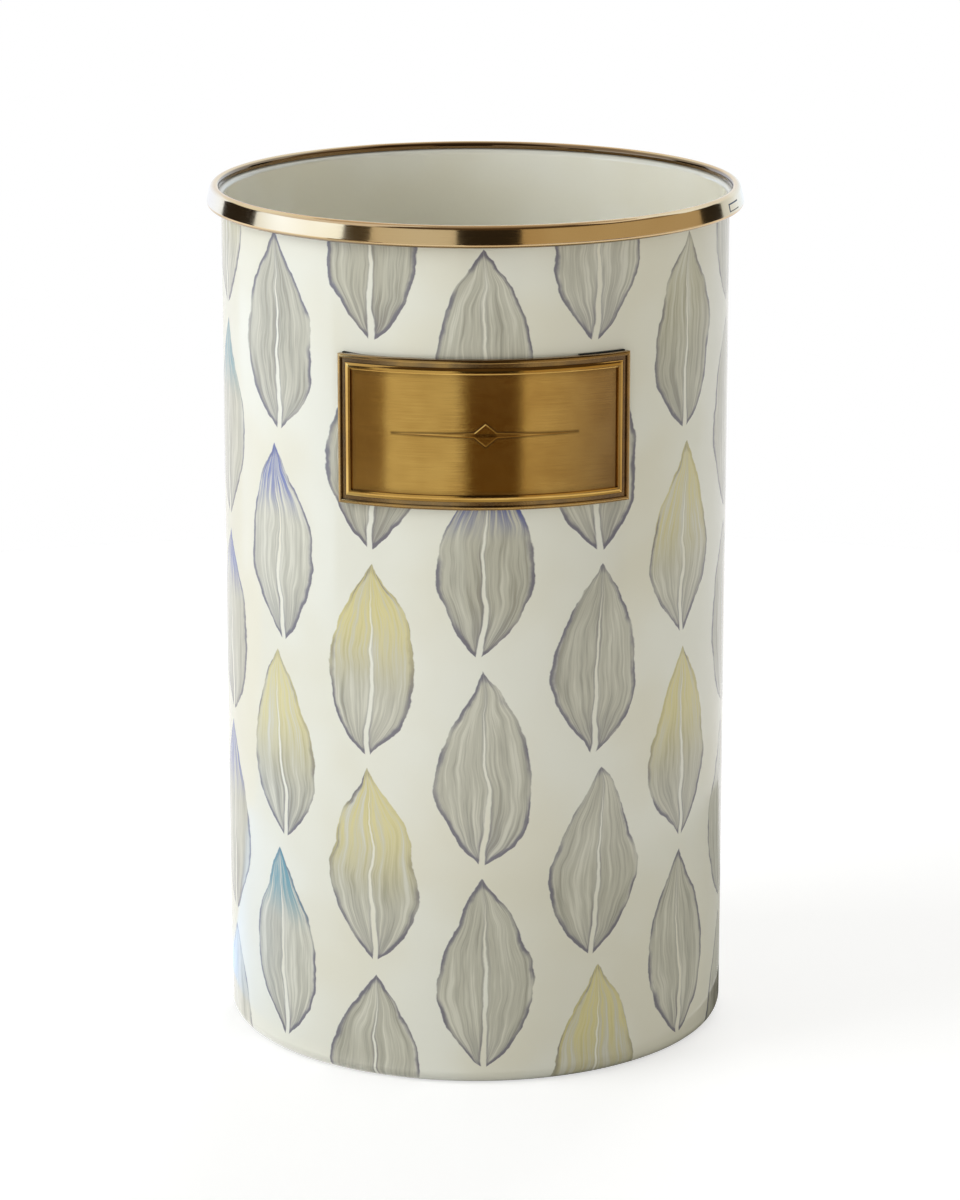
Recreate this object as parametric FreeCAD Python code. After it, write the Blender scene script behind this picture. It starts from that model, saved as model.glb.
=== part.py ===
import FreeCAD, Part
import math
import os

# Utensil crock: a drawn, enamelled steel pot whose flared lip carries a crimped metal rim.
# A framed metal plaque is held to the front of the wall on two foam pads.
# Millimetres, Z up. The origin is on the floor under the middle of the base. The plaque faces -Y.

# Driving dimensions of the pot
body_diameter = 112.0
overall_height = 190.5
wall_thickness = 0.9
base_corner_radius = 3.2
foot_ring_width = 8.0
base_rise = 1.6
base_step_run = 2.6
base_bend_radius = 2.0
lip_straight = 0.5
flare_height = 1.2
flare_bend_share = 0.4

# Driving dimensions of the rim
rim_projection = 3.1
rim_height = 4.7
rim_lean_angle = 13.0
rim_sheet = 0.4
rim_clearance = 0.2
rim_crimp_gap = 0.3
rim_crimp_bend_radius = 0.7

# Driving dimensions of the tongue that joins the rim's two ends
tongue_facing = -23.5
tongue_length = 7.0
tongue_height = 2.3
tongue_rise = 0.8
tongue_gap = 0.18
tongue_gap_depth = 0.2

# Driving dimensions of the plaque
plaque_width = 65.0
plaque_height = 32.3
plaque_drop = 23.7
plaque_facing = -90.0
plaque_thickness = 0.9
ridge_width = 0.8
ridge_height = 0.45
groove_width = 1.0
bead_width = 1.3
bead_height = 0.6
ridge_round_share = 0.3
bead_round_share = 0.42
relief_height = 0.35
rule_length = 40.0
rule_width = 1.2
lozenge_length = 6.0
lozenge_width = 5.0

# Driving dimensions of the pads
pad_thickness = 0.8
pad_width = 11.0
pad_inset = 0.6
pad_rise = 0.15
pad_slant = 1.3

# Sizes that follow from the ones above
body_radius = body_diameter / 2
half_wall = wall_thickness / 2
half_rim_sheet = rim_sheet / 2
rim_radius = body_radius + rim_projection
rim_bottom = overall_height - rim_height
lip_top = overall_height - rim_sheet - rim_clearance
flare_high = lip_top - half_wall - lip_straight
flare_low = flare_high - flare_height
tongue_low = rim_bottom + tongue_rise
tongue_high = tongue_low + tongue_height
plaque_high = rim_bottom - plaque_drop
plaque_low = plaque_high - plaque_height
plaque_back_radius = body_radius + pad_thickness
plaque_field_radius = plaque_back_radius + plaque_thickness

# The rim's middle line: where its top, foot and leaning outer face meet, and the lip that its top goes over
channel_half = half_wall + rim_clearance + half_rim_sheet
crown = overall_height - half_rim_sheet
crimp_height = rim_bottom + half_rim_sheet
lean = math.radians(rim_lean_angle)
half_turn_slope = math.tan(math.pi / 4 - lean / 2)
foot_corner = rim_radius - half_rim_sheet + rim_crimp_bend_radius * (1 / half_turn_slope - 1)
crown_corner = foot_corner - (crown - crimp_height) * math.tan(lean)
lip_line = crown_corner - channel_half * half_turn_slope

# Runs shorter than this are left out of an outline
shortest_run = 1e-6

# A sheet is cut out of a part of a ring that reaches this far to each side, in degrees
sheet_half_angle = 60.0

axis_point = FreeCAD.Vector(0, 0, 0)
axis_direction = FreeCAD.Vector(0, 0, 1)


def at(radius, height):
    """A point of a turned piece's section."""
    return FreeCAD.Vector(radius, 0, height)


def left_of(direction):
    """The unit vector square to a section direction, on its left."""
    return FreeCAD.Vector(-direction.z, 0, direction.x)


def bent_line(corners, bend_radii, side):
    """Lines and arcs of a bent strip's middle line, moved to the left by side.

    corners are the points where the straight runs of the middle line would meet,
    and bend_radii has the radius of the bend at each corner between the two ends.
    """
    runs = [(b - a).normalize() for a, b in zip(corners, corners[1:])]
    edges = []
    start = corners[0] + left_of(runs[0]) * side
    for corner, before, after, bend in zip(corners[1:], runs, runs[1:], bend_radii):
        normals = left_of(before) + left_of(after)
        moved = corner + normals * (side / (1 + before.dot(after)))
        turn = before.getAngle(after)
        turns_left = left_of(before).dot(after) > 0
        radius = bend - side if turns_left else bend + side
        tangent = radius * math.tan(turn / 2)
        arc_start = moved - before * tangent
        arc_end = moved + after * tangent
        towards_centre = (after - before).normalize()
        arc_middle = moved + towards_centre * (radius / math.cos(turn / 2) - radius)
        if (arc_start - start).Length > shortest_run:
            edges.append(Part.LineSegment(start, arc_start).toShape())
        edges.append(Part.Arc(arc_start, arc_middle, arc_end).toShape())
        start = arc_end
    end = corners[-1] + left_of(runs[-1]) * side
    edges.append(Part.LineSegment(start, end).toShape())
    return edges, end


def turned_strip(corners, bend_radii, thickness, round_end):
    """A strip of sheet with bends, turned into a ring about the Z axis."""
    left_edges, left_end = bent_line(corners, bend_radii, thickness / 2)
    right_edges, right_end = bent_line(corners, bend_radii, -thickness / 2)
    left_start = left_edges[0].Vertexes[0].Point
    right_start = right_edges[0].Vertexes[0].Point
    start_cap = Part.LineSegment(left_start, right_start).toShape()
    if round_end:
        tip = corners[-1] + (corners[-1] - corners[-2]).normalize() * (thickness / 2)
        end_cap = Part.Arc(left_end, tip, right_end).toShape()
    else:
        end_cap = Part.LineSegment(left_end, right_end).toShape()
    outline = Part.__sortEdges__(left_edges + right_edges + [start_cap, end_cap])
    return Part.Face(Part.Wire(outline)).revolve(axis_point, axis_direction, 360)


def turned_part(corners, first_angle, last_angle):
    """A section given by its corners, turned about the Z axis from one angle to another."""
    section = Part.Face(Part.makePolygon(corners + corners[:1]))
    section.rotate(axis_point, axis_direction, first_angle)
    return section.revolve(axis_point, axis_direction, last_angle - first_angle)


def curved_plate(inner_radius, outer_radius, low, high, first_angle, last_angle):
    """A plate bent to a circle about the Z axis, between two heights and two angles."""
    corners = [at(inner_radius, low), at(outer_radius, low), at(outer_radius, high), at(inner_radius, high)]
    return turned_part(corners, first_angle, last_angle)


def enamelled_body():
    """The pot: raised base, foot ring, straight wall, flare and rounded lip, of one thickness."""
    wall_line = body_radius - half_wall
    ring_inner = body_radius - base_corner_radius - foot_ring_width
    flare_out = lip_line - wall_line
    bend_run = flare_bend_share * flare_height
    flare_turn = math.atan2(flare_out, flare_height - 2 * bend_run)
    corners = [
        at(0, base_rise + half_wall),
        at(ring_inner - base_step_run, base_rise + half_wall),
        at(ring_inner, half_wall),
        at(wall_line, half_wall),
        at(wall_line, flare_low + bend_run),
        at(lip_line, flare_high - bend_run),
        at(lip_line, lip_top - half_wall),
    ]
    corner_bend = base_corner_radius - half_wall
    flare_bend = bend_run / math.tan(flare_turn / 2)
    bends = [base_bend_radius, base_bend_radius, corner_bend, flare_bend, flare_bend]
    return turned_strip(corners, bends, wall_thickness, round_end=True)


def rim_face(height):
    """The radius of the rim's leaning outer face at a height."""
    return crown_corner + (crown - height) * math.tan(lean) + half_rim_sheet / math.cos(lean)


def tongue_layer(inset, first_angle):
    """A layer through the rim's outer face over the tongue, with its upper and lower edges moved in."""
    low = tongue_low + inset
    high = tongue_high - inset
    corners = [
        at(rim_face(low) - tongue_gap_depth, low),
        at(rim_face(low) + tongue_gap_depth, low),
        at(rim_face(high) + tongue_gap_depth, high),
        at(rim_face(high) - tongue_gap_depth, high),
    ]
    root_angle = tongue_facing + math.degrees(tongue_length / rim_radius)
    return turned_part(corners, first_angle, root_angle)


def tongue_slot():
    """The shallow gap along the tip and both sides of the tongue that joins the rim's ends."""
    tip_angle = tongue_facing + math.degrees(tongue_gap / rim_radius)
    return tongue_layer(0, tongue_facing).cut(tongue_layer(tongue_gap, tip_angle))


def rim_band():
    """The rim: a strip bent over the lip, its outer face leaning out, its foot turned in, its ends joined."""
    inner_leg = lip_line - channel_half
    corners = [
        at(inner_leg, flare_high),
        at(inner_leg, crown),
        at(crown_corner, crown),
        at(foot_corner, crimp_height),
        at(body_radius + rim_crimp_gap, crimp_height),
    ]
    bends = [channel_half, channel_half, rim_crimp_bend_radius]
    return turned_strip(corners, bends, rim_sheet, round_end=False).cut(tongue_slot())


def plaque_angle(from_middle):
    """The angle, in degrees, that a length along the plaque's field takes."""
    return math.degrees(from_middle / plaque_field_radius)


def plaque_layer(inset, inner_radius, outer_radius):
    """A layer of the plaque with its edges moved in by inset."""
    half_angle = plaque_angle(plaque_width / 2 - inset)
    first = plaque_facing - half_angle
    last = plaque_facing + half_angle
    return curved_plate(inner_radius, outer_radius, plaque_low + inset, plaque_high - inset, first, last)


def plaque_frame(inset, width, height, round_share):
    """A rounded moulding that runs round the plaque, standing on its field."""
    top_radius = plaque_field_radius + height
    outside = plaque_layer(inset, plaque_back_radius, top_radius)
    inside = plaque_layer(inset + width, plaque_back_radius, top_radius)
    frame = outside.cut(inside)
    top_edges = []
    for edge in frame.Edges:
        ends = [math.hypot(v.X, v.Y) for v in edge.Vertexes]
        if min(ends) > plaque_field_radius:
            top_edges.append(edge)
    return frame.makeFillet(round_share * width, top_edges)


def cut_sheet(outline, inner_radius, outer_radius, facing):
    """A curved sheet between two radii that faces an angle, cut out along points given across and up."""
    points = [FreeCAD.Vector(0, across, up) for across, up in outline]
    cutter = Part.Face(Part.makePolygon(points + points[:1])).extrude(FreeCAD.Vector(outer_radius, 0, 0))
    cutter.rotate(axis_point, axis_direction, facing)
    heights = [up for across, up in outline]
    first = facing - sheet_half_angle
    last = facing + sheet_half_angle
    return cutter.common(curved_plate(inner_radius, outer_radius, min(heights), max(heights), first, last))


def plaque_lozenge(length, width):
    """A pointed raised bar at the middle of the plaque's field, thick at its own middle."""
    middle = (plaque_low + plaque_high) / 2
    outline = [
        (-length / 2, middle),
        (0, middle - width / 2),
        (length / 2, middle),
        (0, middle + width / 2),
    ]
    return cut_sheet(outline, plaque_back_radius, plaque_field_radius + relief_height, plaque_facing)


def front_plaque():
    """The plaque: a thin field framed by a ridge, a groove and a bead, with a pointed rule inside."""
    field = plaque_layer(0, plaque_back_radius, plaque_field_radius)
    ridge = plaque_frame(0, ridge_width, ridge_height, ridge_round_share)
    bead = plaque_frame(ridge_width + groove_width, bead_width, bead_height, bead_round_share)
    rule = plaque_lozenge(rule_length, rule_width)
    lozenge = plaque_lozenge(lozenge_length, lozenge_width)
    return field.fuse([ridge, bead, rule, lozenge]).removeSplitter()


def plaque_pad(side, slant):
    """A strip of foam tape between the wall and one end of the plaque. side is -1 or 1 along X.

    Its upper end shows over the plaque, and is cut down towards the plaque's middle by slant.
    """
    middle = plaque_width / 2 - pad_inset - pad_width / 2
    low = plaque_low + pad_inset
    high = plaque_high + pad_rise
    outer_edge = side * pad_width / 2
    outline = [
        (-outer_edge, low),
        (outer_edge, low),
        (outer_edge, high),
        (-outer_edge, high - slant),
    ]
    facing = plaque_facing + side * plaque_angle(middle)
    return cut_sheet(outline, body_radius, plaque_back_radius, facing)


def main():
    pieces = {
        "enamelled_body": enamelled_body(),
        "rim_band": rim_band(),
        "front_plaque": front_plaque(),
        "plaque_pad_left": plaque_pad(-1, pad_slant),
        "plaque_pad_right": plaque_pad(1, 0),
    }
    os.makedirs("parts", exist_ok=True)
    for name, shape in pieces.items():
        shape.exportStep(f"parts/{name}.step")
        box = shape.optimalBoundingBox()
        size = f"{box.XLength:.2f} x {box.YLength:.2f} x {box.ZLength:.2f} mm"
        print(f"{name}: {len(shape.Solids)} solid, valid {shape.isValid()}, {size}, {shape.Volume:.1f} mm3")


main()
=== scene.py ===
# %% [markdown]
# # A utensil crock
#
# The object is a tall, straight-sided pot of enamelled steel. A polished bronze-coloured rim is crimped
# over its lip, and a framed brass plaque is stuck to its front on two strips of foam tape.
# The frame holds the same pieces as plain solids. This script gives each one a finer mesh and its finish,
# and then sets up the light and the camera.

# %% Load the frame
import math

import bmesh
import bpy
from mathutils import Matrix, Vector


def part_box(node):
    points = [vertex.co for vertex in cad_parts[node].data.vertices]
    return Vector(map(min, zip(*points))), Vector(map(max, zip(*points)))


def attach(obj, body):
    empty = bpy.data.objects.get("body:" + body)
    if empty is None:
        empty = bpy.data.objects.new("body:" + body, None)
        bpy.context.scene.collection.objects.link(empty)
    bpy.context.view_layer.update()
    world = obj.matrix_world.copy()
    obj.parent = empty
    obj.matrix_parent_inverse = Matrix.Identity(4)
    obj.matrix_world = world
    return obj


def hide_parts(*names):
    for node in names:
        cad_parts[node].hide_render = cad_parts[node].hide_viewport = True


mm = 1000.0


def in_mm(size):
    return [round(side * mm, 1) for side in size]


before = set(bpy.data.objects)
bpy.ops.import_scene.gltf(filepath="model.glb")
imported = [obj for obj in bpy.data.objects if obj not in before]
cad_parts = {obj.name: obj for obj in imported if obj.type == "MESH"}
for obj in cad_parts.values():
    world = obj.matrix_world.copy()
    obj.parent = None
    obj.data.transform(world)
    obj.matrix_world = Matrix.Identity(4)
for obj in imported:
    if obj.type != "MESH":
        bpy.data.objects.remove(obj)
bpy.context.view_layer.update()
print("nodes:", ", ".join(sorted(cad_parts)))

# %% [markdown]
# ## The section of a piece of sheet
#
# The pot and the rim are both sheet metal with bends, turned about one axis. Each could be drawn as a closed
# section, but a maker thinks of the line in the middle of the sheet: a few corners, and a bend at each.
# So the corners go in as vertices, a vertex bevel rounds them, a spin turns the line into a surface,
# and Solidify gives the surface its thickness on both sides of the line.

# %% Helpers for bent sheet
spin_steps = 288
bend_segments = 8
merge_distance = 1e-6


def bent_line(corners, runs):
    """A line through corners given as (radius, height), with bends that start runs away from them."""
    bm = bmesh.new()
    verts = [bm.verts.new((radius, 0, height)) for radius, height in corners]
    for first, second in zip(verts, verts[1:]):
        bm.edges.new((first, second))
    for vert, run in zip(verts[1:], runs):
        bmesh.ops.bevel(
            bm, geom=[vert], offset=run, offset_type="OFFSET", segments=bend_segments,
            profile=0.5, affect="VERTICES", material=-1,
        )
    return bm


def turn(bm):
    """Spins the line in bm about the Z axis, closes the seam and the pole, and faces it outwards."""
    geom = bm.verts[:] + bm.edges[:]
    bmesh.ops.spin(
        bm, geom=geom, axis=(0, 0, 1), cent=(0, 0, 0), angle=2 * math.pi, steps=spin_steps, use_merge=True
    )
    bmesh.ops.remove_doubles(bm, verts=bm.verts[:], dist=merge_distance)
    bmesh.ops.recalc_face_normals(bm, faces=bm.faces[:])


# %% [markdown]
# ## From a bmesh to a piece
#
# Every piece ends the same way. Its sharp edges are marked by their angle, so that bends shade as smooth
# metal and cut edges stay crisp. Weighted normals then let a large flat face keep its own shading up to
# its edge. The piece rides on the frame's one body and stands for the solid that it replaces.

# %% Helpers that finish a piece
scene = bpy.context.scene
sharp_angle = math.radians(35)


def to_object(bm, name, materials):
    """An object in the scene with the mesh in bm."""
    mesh = bpy.data.meshes.new(name)
    bm.to_mesh(mesh)
    for material in materials:
        mesh.materials.append(material)
    made = bpy.data.objects.new(name, mesh)
    scene.collection.objects.link(made)
    return made


def thicken(bm, thickness, materials):
    """Gives the surface in bm a wall, half to each side, whose inner face takes the last material."""
    sheet = to_object(bm, "surface", materials)
    surface = sheet.data
    solidify = sheet.modifiers.new("wall", "SOLIDIFY")
    solidify.thickness = thickness
    solidify.offset = 0
    solidify.use_even_offset = True
    solidify.material_offset = len(materials) - 1
    bpy.context.view_layer.update()
    solid = bpy.data.meshes.new_from_object(sheet.evaluated_get(bpy.context.evaluated_depsgraph_get()))
    bm.clear()
    bm.from_mesh(solid)
    bpy.data.objects.remove(sheet)
    bpy.data.meshes.remove(surface)
    bpy.data.meshes.remove(solid)


def make_piece(bm, name, node, materials):
    """An object from bm that stands for a node."""
    for face in bm.faces:
        face.smooth = True
    for edge in bm.edges:
        edge.smooth = edge.calc_face_angle(0) < sharp_angle
    volume = round(bm.calc_volume(signed=True) * mm**3, 1)
    piece = to_object(bm, name, materials)
    bm.free()
    normals = piece.modifiers.new("weighted normals", "WEIGHTED_NORMAL")
    normals.keep_sharp = True
    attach(piece, "root")
    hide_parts(node)
    faces = len(piece.data.polygons)
    print(f"{name}: {faces} faces, size in mm {in_mm(piece.dimensions)}, volume in cubic mm {volume}")
    return piece


# %% [markdown]
# ## Writing a finish as nodes
#
# A procedural finish is a formula for colour, roughness and bump at each point. Joining nodes by hand takes
# four lines a node, so a small class holds the node tree and adds a node in one call.
# A value may be a number or another node's output.

# %% Nodes with short calls
class Nodes:
    """A node tree, with calls that add a node and give its output."""

    def __init__(self, tree, shader):
        self.tree = tree
        self.shader = tree.nodes[shader]

    def add(self, kind, inputs, **settings):
        node = self.tree.nodes.new(kind)
        for key, value in settings.items():
            setattr(node, key, value)
        for key, value in inputs.items():
            self.feed(node.inputs[key], value)
        return node

    def feed(self, socket, value):
        if isinstance(value, bpy.types.NodeSocket):
            self.tree.links.new(value, socket)
        else:
            socket.default_value = value

    def set(self, socket, value):
        self.feed(self.shader.inputs[socket], value)

    def calc(self, operation, *values):
        return self.add("ShaderNodeMath", dict(enumerate(values)), operation=operation).outputs[0]

    def product(self, total, *shares):
        for share in shares:
            total = self.calc("MULTIPLY", total, share)
        return total

    def ease(self, value, low, high, at_low=0.0, at_high=1.0):
        """at_low up to low, at_high from high on, and a smooth step between."""
        inputs = dict(enumerate((value, low, high, at_low, at_high)))
        return self.add("ShaderNodeMapRange", inputs, interpolation_type="SMOOTHSTEP").outputs[0]

    def mix(self, share, first, second):
        inputs = {0: share, 6: first, 7: second}
        return self.add("ShaderNodeMix", inputs, data_type="RGBA").outputs[2]

    def join(self, x, y, z=0.0):
        return self.add("ShaderNodeCombineXYZ", {0: x, 1: y, 2: z}).outputs[0]

    def noise(self, vector, scale, detail=2.0, roughness=0.5):
        inputs = {"Vector": vector, "Scale": scale, "Detail": detail, "Roughness": roughness}
        return self.add("ShaderNodeTexNoise", inputs).outputs[0]

    def wander(self, vector, scale, reach, detail=2.0):
        """A noise that goes to both sides of 0."""
        return self.calc("MULTIPLY", self.calc("SUBTRACT", self.noise(vector, scale, detail), 0.5), reach)

    def apart(self, first, second):
        return self.calc("ABSOLUTE", self.calc("SUBTRACT", first, second))

    def chance(self, vector):
        """Three steady random numbers for a cell."""
        node = self.add("ShaderNodeTexWhiteNoise", {"Vector": vector}, noise_dimensions="3D")
        split = self.add("ShaderNodeSeparateColor", {0: node.outputs["Color"]})
        return split.outputs[:3]

    def place(self):
        """Object coordinates in millimetres: the vector, and its x, y and z."""
        coordinates = self.add("ShaderNodeTexCoord", {}).outputs["Object"]
        scaled = self.add("ShaderNodeVectorMath", {0: coordinates, 3: mm}, operation="SCALE").outputs[0]
        split = self.add("ShaderNodeSeparateXYZ", {0: scaled})
        return scaled, *split.outputs[:3]

    def around(self, x, y):
        """The distance from the axis, and the angle from the front towards the right."""
        square = self.calc("ADD", self.calc("MULTIPLY", x, x), self.calc("MULTIPLY", y, y))
        angle = self.calc("ARCTAN2", x, self.calc("MULTIPLY", y, -1.0))
        return self.calc("SQRT", square), angle

    def bump(self, height, strength, distance, normal=None):
        inputs = {"Height": height, "Strength": strength, "Distance": distance}
        if normal is not None:
            inputs["Normal"] = normal
        return self.add("ShaderNodeBump", inputs).outputs[0]


class Finish(Nodes):
    """A new material's nodes. A value that is the same all over is set on the shader itself."""

    def __init__(self, name, **constants):
        self.material = bpy.data.materials.new(name)
        self.material.use_nodes = True
        super().__init__(self.material.node_tree, "Principled BSDF")
        for socket, value in constants.items():
            self.set(socket, value)


# A noise lies mostly within the first span. The second is narrower, which gives more contrast
noise_span = (0.3, 0.7)
noise_middle = (0.35, 0.65)


def from_screen(red, green, blue):
    """A colour as it is read off a screen, 0 to 255, in the linear values that shaders take."""
    linear = []
    for value in (red, green, blue):
        share = value / 255
        linear.append(share / 12.92 if share <= 0.04045 else ((share + 0.055) / 1.055) ** 2.4)
    return (*linear, 1.0)


# %% [markdown]
# ## The ivory enamel
#
# The inside is plain enamel, a warm white glass fused to the steel. It is glossy, but it has the slow
# waviness of a poured coat, which makes reflections swim a little, and it is never quite one colour. Two
# scales of noise give both. The coat inside is a shade whiter than the one outside, as painted light
# that brightens the inside. The bends of the flare under the rim carry painted shade in the ground coat's
# colour.

# %% Plain enamel
ivory = from_screen(240, 240, 228)
ivory_warm = from_screen(235, 232, 214)
# The inside's coat is lighter than the outside's: painted light
white = from_screen(248, 247, 236)
white_warm = from_screen(244, 241, 225)
ground_coat_and_shade = from_screen(96, 93, 84)
enamel_gloss = {"Roughness": 0.1, "IOR": 1.52}
tone_scale = 0.03
wave_scale = 0.06
wave_strength = 0.25
wave_height = 0.0006
flare_shade_fade = 0.6
flare_shade_share = 0.2


def enamel_tone(finish, scaled, first, second):
    """The colour of a bare coat, which wanders between two tones."""
    return finish.mix(finish.ease(finish.noise(scaled, tone_scale), *noise_middle), first, second)


def enamel_waves(finish, scaled):
    """The bump of a poured coat: long soft waves."""
    waves = finish.noise(scaled, wave_scale, detail=1.0)
    return finish.bump(waves, wave_strength, wave_height)


def plain_enamel():
    """The coat inside, lightened as painted light, with painted shade on the flare."""
    finish = Finish("ivory_enamel", **enamel_gloss)
    scaled, _, _, z = finish.place()
    coat = enamel_tone(finish, scaled, white, white_warm)
    # Painted shade: the flare is darkened towards the ground coat's colour
    flare_shade = finish.ease(z, flare_low * mm, flare_low * mm + flare_shade_fade, 0.0, flare_shade_share)
    finish.set("Base Color", finish.mix(flare_shade, coat, ground_coat_and_shade))
    finish.set("Normal", enamel_waves(finish, scaled))
    return finish.material


# %% [markdown]
# ## The painted leaves
#
# The outside is painted by hand in a thin grey glaze: rows of upright leaves, each column half a step off
# the next. A picture could be wrapped round the pot, but then the strokes would blur close up. Here each
# point works out which leaf it is in from its angle and height. Inside a leaf, two numbers do the work:
# how far along it the point lies, and how far across, counted in leaf widths at that height. Streaks that
# keep to one number across follow the curve of the leaf, as the hairs of a brush do.

# %% Where a point lies in its leaf
body_radius = 0.056
leaf_columns = 14
leaf_row_pitch = 46.0
leaf_half_width = 10.8
leaf_half_height = 21.8
leaf_base_height = 3.0
leaf_belly = 0.16
leaf_lean = 0.24
leaf_narrowest = 0.2
leaf_raggedness = 0.9
ragged_scale = 0.5
sway_reach = 5.0
sway_scale = 0.07
lift_reach = 6.0
lift_scale = 0.055
chance_seeds = (3.0, 8.0)
rib_end = 0.7
rib_taper = 0.4
rib_wander = 0.4


class Leaf:
    """The outputs that say where a point lies on the painted wall, in millimetres or in shares of a leaf."""

    def __init__(self, finish):
        calc, join, wander = finish.calc, finish.join, finish.wander
        self.scaled, x, y, self.height = finish.place()

        # Unrolled wall, with the sway of a hand
        self.radius, angle = finish.around(x, y)
        sway = wander(self.scaled, sway_scale, sway_reach)
        lift = wander(self.scaled, lift_scale, lift_reach, detail=1.0)
        across = calc("ADD", calc("MULTIPLY", angle, body_radius * mm), sway)
        up = calc("ADD", self.height, lift)

        # The leaf's column and row, which seed its chances
        pitch = 2 * math.pi * body_radius * mm / leaf_columns
        column = calc("ROUND", calc("DIVIDE", across, pitch))
        wrapped = calc("FLOORED_MODULO", column, float(leaf_columns))
        half_step = calc("MULTIPLY", calc("FLOORED_MODULO", column, 2.0), 0.5)
        rows_up = calc("DIVIDE", calc("SUBTRACT", up, leaf_base_height), leaf_row_pitch)
        row_place = calc("ADD", rows_up, half_step)
        row = calc("FLOOR", row_place)
        self.above_base = calc("GREATER_THAN", row, -0.5)
        self.chances = []
        for seed in chance_seeds:
            self.chances += finish.chance(join(wrapped, row, seed))

        # Along the leaf from -1 at its foot to 1 at its tip, and across it
        from_middle = calc("SUBTRACT", calc("SUBTRACT", row_place, row), 0.5)
        self.along = calc("MULTIPLY", from_middle, leaf_row_pitch / leaf_half_height)
        lean = calc("MULTIPLY", calc("SUBTRACT", self.chances[0], 0.5), leaf_lean)
        upright_offset = calc("SUBTRACT", across, calc("MULTIPLY", column, pitch))
        offset = calc("MULTIPLY_ADD", self.along, calc("MULTIPLY", lean, leaf_half_width), upright_offset)
        bow = calc("MULTIPLY", calc("SUBTRACT", 1.0, calc("MULTIPLY", self.along, self.along)), leaf_belly)
        bellied = calc("ADD", self.along, bow)
        fullness = calc("SUBTRACT", 1.0, calc("MULTIPLY", bellied, bellied))
        half_width = calc("MULTIPLY", fullness, leaf_half_width)
        self.share = calc("DIVIDE", offset, calc("MAXIMUM", half_width, leaf_narrowest))

        # How far inside the ragged edge, and how far outside the bare rib, which closes towards the tip
        self.ragged = wander(self.scaled, ragged_scale, leaf_raggedness)
        inset = calc("SUBTRACT", half_width, calc("ABSOLUTE", offset))
        self.edge = calc("ADD", inset, self.ragged)
        rib_width = calc("MULTIPLY", calc("SUBTRACT", rib_end, self.along), rib_taper)
        from_rib = calc("ABSOLUTE", calc("MULTIPLY_ADD", self.ragged, rib_wander, offset))
        self.rib_edge = calc("SUBTRACT", from_rib, rib_width)


# %% [markdown]
# ## The strokes of the brush
#
# A glaze that is brushed on shows the hairs of the brush. It stops at a ragged edge, leaves a bare rib
# between the leaf's two strokes, and pools along the edges, beside the rib and at the foot.
# One noise could stand for all of this, but then nothing would follow the leaf. So each is a number
# of its own, made from where the point lies, and the colours are picked with them afterwards.

# %% Hairs, paint and pools
# Streaks to a leaf's half width, streaks to its half height, roughness and weight, broad and then fine
hair_layers = ((5.0, 0.8, 0.6, 0.55), (17.0, 1.1, 0.65, 0.45))
hair_seeds = 90.0
paint_inner_radius = 54.2
paint_inner_fade = 0.4
foot_clearance = (0.5, 0.9)
edge_softness = (0.0, 0.3)
rib_softness = (-0.15, 0.2)
pool_patch_scale = 0.11
edge_pool_reach = (1.7, 0.3)
rib_pool_reach = (0.9, 0.1)
rib_pool_share = 0.3
foot_pool_reach = (-0.3, -0.9)
foot_pool_share = 0.3


def brush_hairs(finish, leaf):
    """Long streaks, broad and fine, that keep to one share across the leaf."""
    calc = finish.calc
    seed = calc("MULTIPLY", leaf.chances[1], hair_seeds)
    layers = []
    for wide, high, roughness, weight in hair_layers:
        across = calc("MULTIPLY_ADD", leaf.share, wide, seed)
        place = finish.join(across, calc("MULTIPLY", leaf.along, high), seed)
        layers.append(calc("MULTIPLY", finish.noise(place, 1.0, 3.0, roughness), weight))
    return calc("ADD", *layers)


def paint_mask(finish, leaf):
    """1 where there is paint: in a leaf, off its rib, and on the wall above the foot."""
    calc, ease = finish.calc, finish.ease
    above_foot = ease(calc("ADD", leaf.height, leaf.ragged), *foot_clearance)
    on_wall = ease(leaf.radius, paint_inner_radius, paint_inner_radius + paint_inner_fade)
    in_leaf, off_rib = ease(leaf.edge, *edge_softness), ease(leaf.rib_edge, *rib_softness)
    return finish.product(in_leaf, off_rib, above_foot, on_wall, leaf.above_base)


def glaze_pools(finish, leaf):
    """How far the glaze has pooled, in patches along the edges, beside the rib and at the foot."""
    calc, ease = finish.calc, finish.ease
    patches = ease(finish.noise(leaf.scaled, pool_patch_scale, detail=1.0), 0.3, 0.62, 0.25, 1.0)
    edge_pool = calc("MULTIPLY", ease(leaf.edge, *edge_pool_reach), patches)
    rib_pool = ease(leaf.rib_edge, *rib_pool_reach, 0.0, rib_pool_share)
    foot_pool = calc("MULTIPLY", ease(leaf.along, *foot_pool_reach), foot_pool_share)
    return calc("ADD", calc("ADD", edge_pool, rib_pool), foot_pool)
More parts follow.
